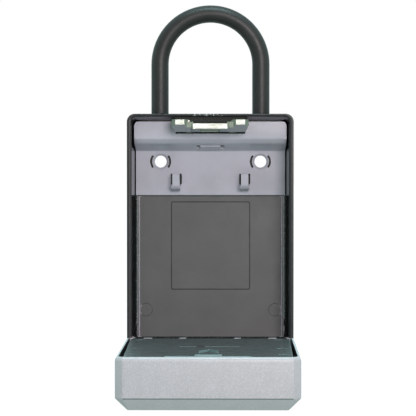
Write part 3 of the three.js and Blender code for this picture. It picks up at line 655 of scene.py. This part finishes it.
def make_rear_liner():
    half, low, high = 46.6, up(4), up(93.8)
    back = FLOOR - 0.2
    face = back - 1.8
    piece = box(-half, half, face, back, low, high)
    rib = (face - 1.2, face + 0.5, low, high)
    add(piece, *mirrored(lambda side: box(side * (half - 1.2), side * half, *rib)))
    outer = prism("y", rounded(-25.3, 25.3, up(34), up(90.5), 1.2), face - 1, face + 0.5)
    inner = prism("y", rounded(-24.6, 24.6, up(34.7), up(89.8), 0.8), face - 2, face + 2)
    groove = cut(outer, inner)
    holes = mirrored(lambda side: rod("y", 4.2, face - 2, back + 1, side * LOW_HOLE_X, LOW_HOLE_Z))
    cut(piece, groove, *holes)
    finish_piece(piece, "rear_liner_plate", "casing", "dark_moulding", 0.2, ["rear_liner"])


def collar_slot(side, turn):
    """One of the two curved slots beside a screw hole."""
    spread = math.radians(38)
    outer, inner = (arc(side * HOLE_X, HOLE_Z, r, 12, turn - spread, 2 * spread) for r in (6.7, 5.4))
    return prism("y", outer + inner[::-1], PANEL_BACK - 2, PANEL_BACK + 3)


def make_hook_panel():
    thick = 1.6
    front, back = PANEL_FRONT, PANEL_BACK
    behind = back + thick
    step = [(front, up(130.2)), (front + 2.7, up(127.3)), (back, up(122.8))]
    step_rear = [(behind, up(124)), (front + 3.7, up(128.9)), (front + thick, up(131))]
    outline = [
        (front, PANEL_TOP), *step, (back, PANEL_LOW),
        (behind, PANEL_LOW), *step_rear, (front + thick, PANEL_TOP),
    ]
    piece = prism("x", softened(outline, 0.8), -PANEL_HALF, PANEL_HALF)
    end = [(front, PANEL_TOP), *step, (back, PANEL_TOP)]
    add(piece, *mirrored(lambda side: prism("x", end, *span(side, PANEL_HALF, PANEL_HALF - thick))))
    # the sides lean in with depth, and the top corners are round
    low, corner, lean = PANEL_LOW - 10, 3, 0.7
    envelope = loft(
        "tool",
        [
            frame_loop(PANEL_HALF, low, PANEL_TOP, corner, front - 1),
            frame_loop(PANEL_HALF - lean, low, PANEL_TOP, corner, behind + 1),
        ],
    )
    combine(piece, "INTERSECT", [envelope])
    notch = box(-22, 22, front - 1, front + 12, up(133.5), PANEL_TOP + 1)
    tab_slot = box(-8.85, 8.85, RIM + 11.3, RIM + 16.9, up(118), up(129.5))
    slots = [collar_slot(side, turn) for side in SIDES for turn in (0, math.pi)]
    window = (back - 2, behind + 2, up(101.6), up(108.2))
    windows = mirrored(lambda side: box(side * HOOK_X - 3.55, side * HOOK_X + 3.55, *window))
    cut(piece, notch, tab_slot, *slots, *windows)

    tubes = mirrored(lambda side: rod("y", 4.9, back + 0.6, FLOOR - 0.2, side * HOLE_X, HOLE_Z))
    hooks = [shape for side in SIDES for shape in hook(side)]
    add(piece, *tubes, *hooks)
    dimple = rod("y", 1.9, back - 1, back + 0.3, 0, up(97.2))
    cut(piece, *mirrored(screw_hole), dimple)
    finish_piece(piece, "hook_panel_moulding", "casing", "light_moulding", 0.25, ["hook_panel"])


def hook(side):
    """A wider foot on the plate, and the tongue that curves forward and up from it."""
    reach, rise, thick = 7.5, 5.4, 1.8
    low, root, top = up(97.1), up(101.5), up(108.6)
    back, sunk = PANEL_BACK, PANEL_BACK + 0.8
    tip = back - reach
    inside = tip + thick
    fullness = 0.72  # 1 would make the curve an ellipse, less makes it squarer

    def under(turn):
        angles = [turn * i / 14 for i in range(15)]
        forward = [back - reach * math.sin(t) ** fullness for t in angles]
        upward = [low + rise * (1 - abs(math.cos(t)) ** fullness) for t in angles]
        return list(zip(forward, upward))

    x = side * HOOK_X
    inner = [(inside, root + 2), (inside + 2, root), (sunk, root)]
    end = [(tip, top - 0.8), (tip + thick / 2, top), (inside, top - 0.6)]
    foot = prism("x", [(sunk, low), *under(1.3), *inner[1:]], x - 3.1, x + 3.1)
    round_front = prism("y", rounded(x - 3.1, x + 3.1, low, up(106), 2.4, 10), back - 12, sunk)
    combine(foot, "INTERSECT", [round_front])
    return [foot, prism("x", [(sunk, low), *under(math.pi / 2), *end, *inner], x - 2.3, x + 2.3)]


def screw_hole(side):
    """A screw hole with its countersink, to be cut from the panel and the tube behind it."""
    past, wide, deep = 0.5, 5.15, 1.2
    slope = (wide - HOLE_R) / deep
    rings = [(wide + past * slope, -past), (HOLE_R, deep), (HOLE_R, 20)]
    loops = [[(x, PANEL_BACK + d, z) for x, z in arc(side * HOLE_X, HOLE_Z, r, 48)] for r, d in rings]
    return loft("tool", loops)


def strike_bar(face, top, lip, back, x0, x1):
    """A length of the strike: its underside rises from the back to the lip of its front face."""
    low, rear = up(134.5), RIM + 3.2
    return prism("x", [(face, up(top)), (face, up(lip)), (back, low), (rear, low), (rear, up(top))], x0, x1)


def make_strike():
    front = RIM - 10
    top, middle, lug, half = 139.7, 11.5, 13.9, 24
    piece = strike_bar(front, top, 136.3, front + 4, -middle, middle)

    def corner(x, reach):
        """Takes the vertical edge at x off the front face, by reach."""
        wedge = [(x, front - 0.1), (x + reach, front + abs(reach)), (x + reach * 2, front - 2)]
        return prism("z", wedge, up(130), up(145))

    lugs = mirrored(lambda side: strike_bar(front, 142.2, 139, front + 5, *span(side, lug, half)))
    for side, shape in zip(SIDES, lugs):
        # both ends of a lug are tapered, and the outer end is slanted below
        ends = [corner(side * (half - 2.3), side * 2.4), corner(side * (lug + 2.3), -side * 2.4)]
        foot = [(side * x, up(z)) for x, z in ((half + 0.2, 138.6), (half + 0.2, 134), (half - 2, 134))]
        cut(shape, *ends, prism("y", foot, front - 1, RIM + 4))
    joint = (front + 1.6, top + 1, 137.2, front + 4.4)
    joints = mirrored(lambda side: strike_bar(*joint, *span(side, middle - 1, lug + 1)))
    cut(piece, *mirrored(lambda side: corner(side * (middle - 0.8), side * 0.9)))
    add(piece, *lugs, *joints)
    window = box(-6.2, 6.2, front + 1.1, front + 6.8, up(130), up(145))
    cut(piece, window)
    flange = box(-19.5, 19.5, RIM + 2.5, RIM + 19, up(136.2), up(138.2))
    add(piece, flange)
    cut(piece, *mirrored(lambda side: rod("z", 1.8, up(130), up(145), side * 14, RIM + 14)))
    finish_piece(piece, "strike_bar", "casing", "zinc_steel", 0.3, ["strike"], segments=3, look="strike_zinc")


# ---------------------------------------------------------------- shackle


def bow(name, r, foot, around=40, along=48, ring=None):
    """A round bar bent into the shackle's bow; ring gives the inside radius of a sleeve."""

    def section(x, z, nx, nz, radius):
        return [
            (x + radius * math.cos(a) * nx, SHACKLE_Y + radius * math.sin(a), z + radius * math.cos(a) * nz)
            for a in (2 * math.pi * k / around for k in range(around))
        ]

    def path(radius):
        loops = [section(-SHACKLE_X, foot, -1, 0, radius)]
        for i in range(along + 1):
            t = math.pi - math.pi * i / along
            nx, nz = math.cos(t), math.sin(t)
            loops.append(section(SHACKLE_X * nx, BOW_CENTRE + SHACKLE_X * nz, nx, nz, radius))
        loops.append(section(SHACKLE_X, foot, 1, 0, radius))
        return loops

    if ring is None:
        return loft(name, path(r))
    return loft(name, path(r) + path(ring)[::-1], closed=True)


def make_shackle():
    bar = bow("shackle_steel", 4.5, up(128.4), 32)
    waist = [
        box(side * SHACKLE_X - 6, side * SHACKLE_X + 6, SHACKLE_Y + a, SHACKLE_Y + b, up(130.3), up(132.7))
        for side in SIDES
        for a, b in ((3, 6), (-6, -3))
    ]
    cut(bar, *waist)
    finish_piece(bar, "shackle_steel", "shackle", "zinc_steel", 0.3, ["shackle_bar"])
    sleeve = bow("shackle_coat", 5.5, up(146.2), ring=4.7)
    finish_piece(sleeve, "shackle_coat", "shackle", "shackle_coating", 0.3, ["shackle_sleeve"])


# ---------------------------------------------------------------- lid, built closed in its own frame


def lid_loop(inset, chamfer, y):
    """The lid's outline at depth y, inset from its largest size: a rectangle with soft, chamfered corners."""
    half, z0, z1 = LID_HALF - inset, LID_LOW + inset, LID_TOP - inset
    c = max(0.5, chamfer - inset * (2 - math.sqrt(2)))
    corners = [
        (half, z1 - c), (half - c, z1), (-half + c, z1), (-half, z1 - c),
        (-half, z0 + c), (-half + c, z0), (half - c, z0), (half, z0 + c),
    ]
    return [(x, y, z) for x, z in softened(corners, min(0.5, c * 0.4))]


def lid_outside():
    """From the bead round the parting edge, down the sides and over the chamfer to the front."""
    flat, corner, soft, diagonal = 7.1, 4.4, 0.5, 0.707
    bead_in, bead_down = 1.8, 2.8
    loops = []
    for i in range(9):
        t = math.pi / 2 * i / 8
        loops.append(lid_loop(bead_in * (1 - math.sin(t)), corner, PARTING - bead_down * (1 - math.cos(t))))
    for i in range(5):  # the side turns into the chamfer
        t = i / 4
        y = FRONT + flat + soft * ((1 - t) ** 2 - t**2 * diagonal)
        loops.append(lid_loop(soft * diagonal * t**2, corner, y))
    for i in range(5):  # the chamfer turns into the front
        t = i / 4
        inset = flat + soft * (t**2 - (1 - t) ** 2 * diagonal)
        loops.append(lid_loop(inset, corner, FRONT + soft * diagonal * (1 - t) ** 2))
    return loft("lid_shell", loops)


def lid_hollow():
    """The room inside the lid's walls, which narrows behind the outer chamfer."""
    half, low, high, narrow = LID_HALF - LID_WALL, LID_LOW + LID_WALL, LID_TOP - LID_WALL, 5.5
    return loft(
        "tool",
        [
            frame_loop(half, low, high, CORNER, PARTING + 1),
            frame_loop(half, low, high, CORNER, FRONT + 7.5),
            frame_loop(half - narrow, low + narrow, high - narrow, 1, FRONT + 2.5),
        ],
    )


def make_lid_shell():
    piece = lid_outside()
    # the lower edge is round about the hinge, so that the lid can turn
    quarter = arc(0, 0, PARTING, 12, -math.pi / 2, math.pi / 2)
    heel = prism("x", quarter + [(4, 0), (4, -4), (0, -4)], -THROUGH, THROUGH)
    cut(piece, heel)
    cut(piece, lid_hollow())

    floor = FRONT + 1
    track_low, track_high = 11.5, 112.7
    bosses = [rod("y", 3.3, floor, COVER_BACK - 0.1, x, z, 32) for x, z in COVER_SCREWS]
    ears = mirrored(lambda side: box(side * 22, side * 25.4, floor, DIAL_Y + 4.5, DIAL_Z - 5, DIAL_Z + 5))
    backing = box(-27.5, 27.5, floor, FRONT + 5.2, track_low - 2, track_high + 2)
    spans = [stretch for a, b in LID_KNUCKLES for stretch in ((a, b), (-b, -a))]
    knuckles = [rod("x", BARREL, a, b, 0, 0) for a, b in spans]
    webs = [box(a, b, -4, 0, -BARREL, 2) for a, b in spans]
    lips = [box(a, b, -BARREL, BARREL, 0, 2.9) for a, b in spans]
    add(piece, *bosses, *ears, backing, *knuckles, *webs, *lips)

    track = prism("y", rounded(-24.2, 24.2, track_low, track_high, 1.5), FRONT - 1, FRONT + 3.4)
    groove = box(-25.4, 25.4, FRONT + 1.9, FRONT + 3.4, track_low, track_high)
    knob_slot = box(-3.4, 3.4, FRONT, COVER_BACK, 95, 108.3)
    shaft = rod("x", 2.1, -24.6, 24.6, DIAL_Y, DIAL_Z)
    slots = [box(x - 4.6, x + 4.6, FRONT, DIAL_Y, DIAL_Z - 9, DIAL_Z + 9) for x in dial_centres()]
    screws = [rod("y", 1.3, FRONT + 4, PARTING, x, z, 24) for x, z in COVER_SCREWS]
    reach = BARREL + 0.35
    reliefs = [box(a, b, -reach, PARTING + 1, LID_LOW - 1, reach) for a, b in casing_spans(0.3)]
    pin = rod("x", PIN_BORE, -THROUGH, THROUGH, 0, 0)
    cut(piece, track, groove, knob_slot, shaft, *slots, *screws, *reliefs, pin)
    finish_piece(piece, "lid_casting", "lid", "silver_casting", 0.2, ["lid_shell"], in_lid=True)


def make_inner_cover():
    low, high, half, hinge_half = 3.4, 140.8, 48.3, 49.7
    widening = (hinge_half / half - 1) / (high - low)
    outline = [(x * (1 + (high - z) * widening), z) for x, z in rounded(-half, half, low, high, 4)]
    piece = prism("y", outline, COVER_BACK, COVER_FACE)
    chevron = [(0, 86), (-5.6, 103), (-5.6, 110), (0, 97), (5.6, 110), (5.6, 103)]
    arrow = prism("y", chevron, COVER_FACE - 0.2, COVER_FACE + 1.2)
    hood = box(-7.7, 7.7, COVER_FACE - 0.2, COVER_FACE + 0.9, 121, 131.2)
    add(piece, arrow, hood)
    slot = box(-24.7, 24.7, COVER_BACK - 1, COVER_FACE + 2, 131.2, 142.2)
    lever = prism("y", rounded(-18.3, 18.3, 62.8, 65.8, 1), COVER_BACK - 1, COVER_FACE + 1)
    bores = [rod("y", 1.4, COVER_BACK - 1, COVER_FACE + 1, x, z, 24) for x, z in COVER_SCREWS]
    wells = [rod("y", 3, COVER_FACE - 1.4, COVER_FACE + 1, x, z, 40) for x, z in COVER_SCREWS]
    cut(piece, slot, lever, *bores, *wells)
    finish_piece(piece, "inner_cover_plate", "lid", "cover_moulding", 0.2, ["inner_cover"], in_lid=True)


# ---------------------------------------------------------------- dials


def dial_centres():
    """The X of each dial, from left to right."""
    return [(i - 1.5) * DIAL_PITCH for i in range(4)]


def make_dial(name, x):
    """A wheel with ten slightly crowned faces and a notch between each pair."""
    outline = []
    for face in range(10):
        middle = face * DIAL_STEP - math.pi / 2
        for k in range(8):
            turn = (k / 7 - 0.5) * 0.8
            outline.append((DIAL_R - 0.02 * (turn / 0.4) ** 2, middle + turn * DIAL_STEP))
        outline.append((DIAL_R - 0.6, middle + 0.5 * DIAL_STEP))
    wheel = [(DIAL_Y + r * math.sin(a), DIAL_Z + r * math.cos(a)) for r, a in outline]
    half = DIAL_WIDTH / 2
    piece = prism("x", wheel, x - half, x + half)
    cut(piece, rod("x", 5.7, x - 9, x + 9, DIAL_Y, DIAL_Z))
    finish_piece(piece, f"{name}_wheel", name, "dial_moulding", 0.2, [name], in_lid=True)


def make_digits(name, x):
    """The digits 0 to 9 round a wheel, as one raised piece."""
    parts = bmesh.new()
    centre = Matrix.Translation((x * MM, DIAL_Y * MM, DIAL_Z * MM))
    # a glyph stands on the front of the wheel, then turns to its own place
    stand = Matrix.Translation((0, -DIAL_R * MM, 0)) @ Matrix.Rotation(math.pi / 2, 4, "X")
    for digit in range(10):
        curve = bpy.data.curves.new("digit", "FONT")
        curve.body = str(digit)
        curve.size = 5.6 * MM
        curve.align_x = "CENTER"
        curve.align_y = "CENTER"
        curve.extrude = 0.06 * MM
        text = bpy.data.objects.new("digit", curve)
        scene.collection.objects.link(text)
        graph = bpy.context.evaluated_depsgraph_get()
        mesh = bpy.data.meshes.new_from_object(text.evaluated_get(graph))
        turn = Matrix.Rotation(digit * DIAL_STEP, 4, "X")
        mesh.transform(LID @ centre @ turn @ stand)
        parts.from_mesh(mesh)
        bpy.data.objects.remove(text)
        bpy.data.meshes.remove(mesh)
    digits = link(f"{name}_digits", parts)
    digits.data.materials.append(FINISHES["white_ink"])
    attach(digits, name)


def finish_cad_pieces():
    """The CAD's own pieces that stay get a finish, and a small bevel where an edge shows."""
    slots = {part["node"]: part["material_slot"] for part in frame["record"]["subparts"]}
    for name, node in frame["nodes"].items():
        if node.hide_render:
            continue
        node.data.materials.clear()
        node.data.materials.append(FINISHES[slots[name]])
        if not name.startswith("latch_spring"):
            soften(node, 0.15)


# ---------------------------------------------------------------- build

make_casing()
make_rear_liner()
make_hook_panel()
make_strike()
make_shackle()
make_lid_shell()
make_inner_cover()
for number, centre_x in enumerate(dial_centres(), 1):
    make_dial(f"dial_{number}", centre_x)
    make_digits(f"dial_{number}", centre_x)
finish_cad_pieces()

# ---------------------------------------------------------------- floor, light and camera


def surround():
    """White where it is seen; its light is dim and neutral from the front, brighter and teal elsewhere."""
    world = bpy.data.worlds.new("studio")
    scene.world = world
    world.use_nodes = True
    tree = world.node_tree
    tree.nodes.clear()
    made = tree.nodes.new
    direction = made("ShaderNodeSeparateXYZ")
    tree.links.new(made("ShaderNodeTexCoord").outputs["Generated"], direction.inputs[0])
    tint = made("ShaderNodeMapRange")
    tint.inputs["From Min"].default_value = -0.8
    tint.inputs["From Max"].default_value = -0.1
    tree.links.new(direction.outputs["Y"], tint.inputs["Value"])
    hue = made("ShaderNodeMix")
    hue.data_type = "RGBA"
    tree.links.new(tint.outputs["Result"], hue.inputs["Factor"])
    hue.inputs[6].default_value = (1.0, 0.98, 0.93, 1)
    hue.inputs[7].default_value = (0.71, 0.97, 0.97, 1)
    strength = made("ShaderNodeMapRange")
    for key, value in (("From Min", 0.0), ("From Max", 1.0), ("To Min", 0.38), ("To Max", 1.0)):
        strength.inputs[key].default_value = value
    tree.links.new(tint.outputs["Result"], strength.inputs["Value"])
    light = made("ShaderNodeBackground")
    tree.links.new(hue.outputs[2], light.inputs["Color"])
    tree.links.new(strength.outputs["Result"], light.inputs["Strength"])
    seen = made("ShaderNodeBackground")
    seen.inputs["Color"].default_value = (1, 1, 1, 1)
    mix = made("ShaderNodeMixShader")
    tree.links.new(made("ShaderNodeLightPath").outputs["Is Camera Ray"], mix.inputs["Fac"])
    tree.links.new(light.outputs["Background"], mix.inputs[1])
    tree.links.new(seen.outputs["Background"], mix.inputs[2])
    tree.links.new(mix.outputs["Shader"], made("ShaderNodeOutputWorld").inputs["Surface"])


def soft_box(name, place, target, width, height, power, colour):
    """A rectangular lamp that faces its target."""
    data = bpy.data.lights.new(name, "AREA")
    data.shape = "RECTANGLE"
    data.size, data.size_y = width, height
    data.energy = power
    data.color = colour
    lamp = bpy.data.objects.new(name, data)
    lamp.location = place
    lamp.rotation_euler = (Vector(target) - Vector(place)).to_track_quat("-Z", "Y").to_euler()
    scene.collection.objects.link(lamp)


def make_floor():
    """Seen as a white sweep with a faint contact shadow; it lights the object from below with a dim teal."""
    made = Finish("floor_paint", 0.8, specular=0.0)
    made.colour(made.mix(made.band(made.noise(160, 3), 0.3, 0.7), (0.90, 0.90, 0.90), (0.94, 0.94, 0.94)))
    glow = made.node("ShaderNodeEmission", strength=1.08)
    sweep = made.node("ShaderNodeMixShader")
    sweep.inputs["Fac"].default_value = 0.9
    made.wire(made.shader.outputs["BSDF"], sweep.inputs[1])
    made.wire(glow.outputs["Emission"], sweep.inputs[2])
    under = made.node("ShaderNodeEmission", strength=0.68)
    under.inputs["Color"].default_value = (0.75, 1.0, 0.93, 1)
    choice = made.node("ShaderNodeMixShader")
    made.wire(made.node("ShaderNodeLightPath").outputs["Is Camera Ray"], choice.inputs["Fac"])
    made.wire(under.outputs["Emission"], choice.inputs[1])
    made.wire(sweep.outputs["Shader"], choice.inputs[2])
    made.wire(choice.outputs["Shader"], made.tree.nodes["Material Output"].inputs["Surface"])
    low = min(point[2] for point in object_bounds()) - 0.3 * MM
    size = 12
    bm = bmesh.new()
    corners = ((-size, -size), (size, -size), (size, size), (-size, size))
    bm.faces.new([bm.verts.new((x, y, low)) for x, y in corners])
    floor = link("floor", bm)
    floor.data.materials.append(made.material)
    floor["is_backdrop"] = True


def make_camera():
    """Far off with a long lens, slightly above the middle of the object and to its right."""
    eye = Vector((12.6, -1449, 42)) * MM
    aim = Vector((-1.4, -27, 13.7)) * MM
    camera = bpy.data.objects.new("camera", bpy.data.cameras.new("camera"))
    camera.data.lens = 195.7
    camera.data.sensor_width = 36
    camera.location = eye
    camera.rotation_euler = (aim - eye).to_track_quat("-Z", "Y").to_euler()
    scene.collection.objects.link(camera)
    scene.camera = camera


surround()
make_floor()
soft_box("key", (0.50, -1.85, 0.44), (0, 0, 0), 0.8, 0.7, 23, (1.0, 0.89, 0.90))
soft_box("top", (0.1, -0.5, 1.6), (0, -0.1, 0), 0.9, 0.4, 17, (0.68, 1.0, 1.0))
make_camera()
scene.view_settings.view_transform = "Standard"
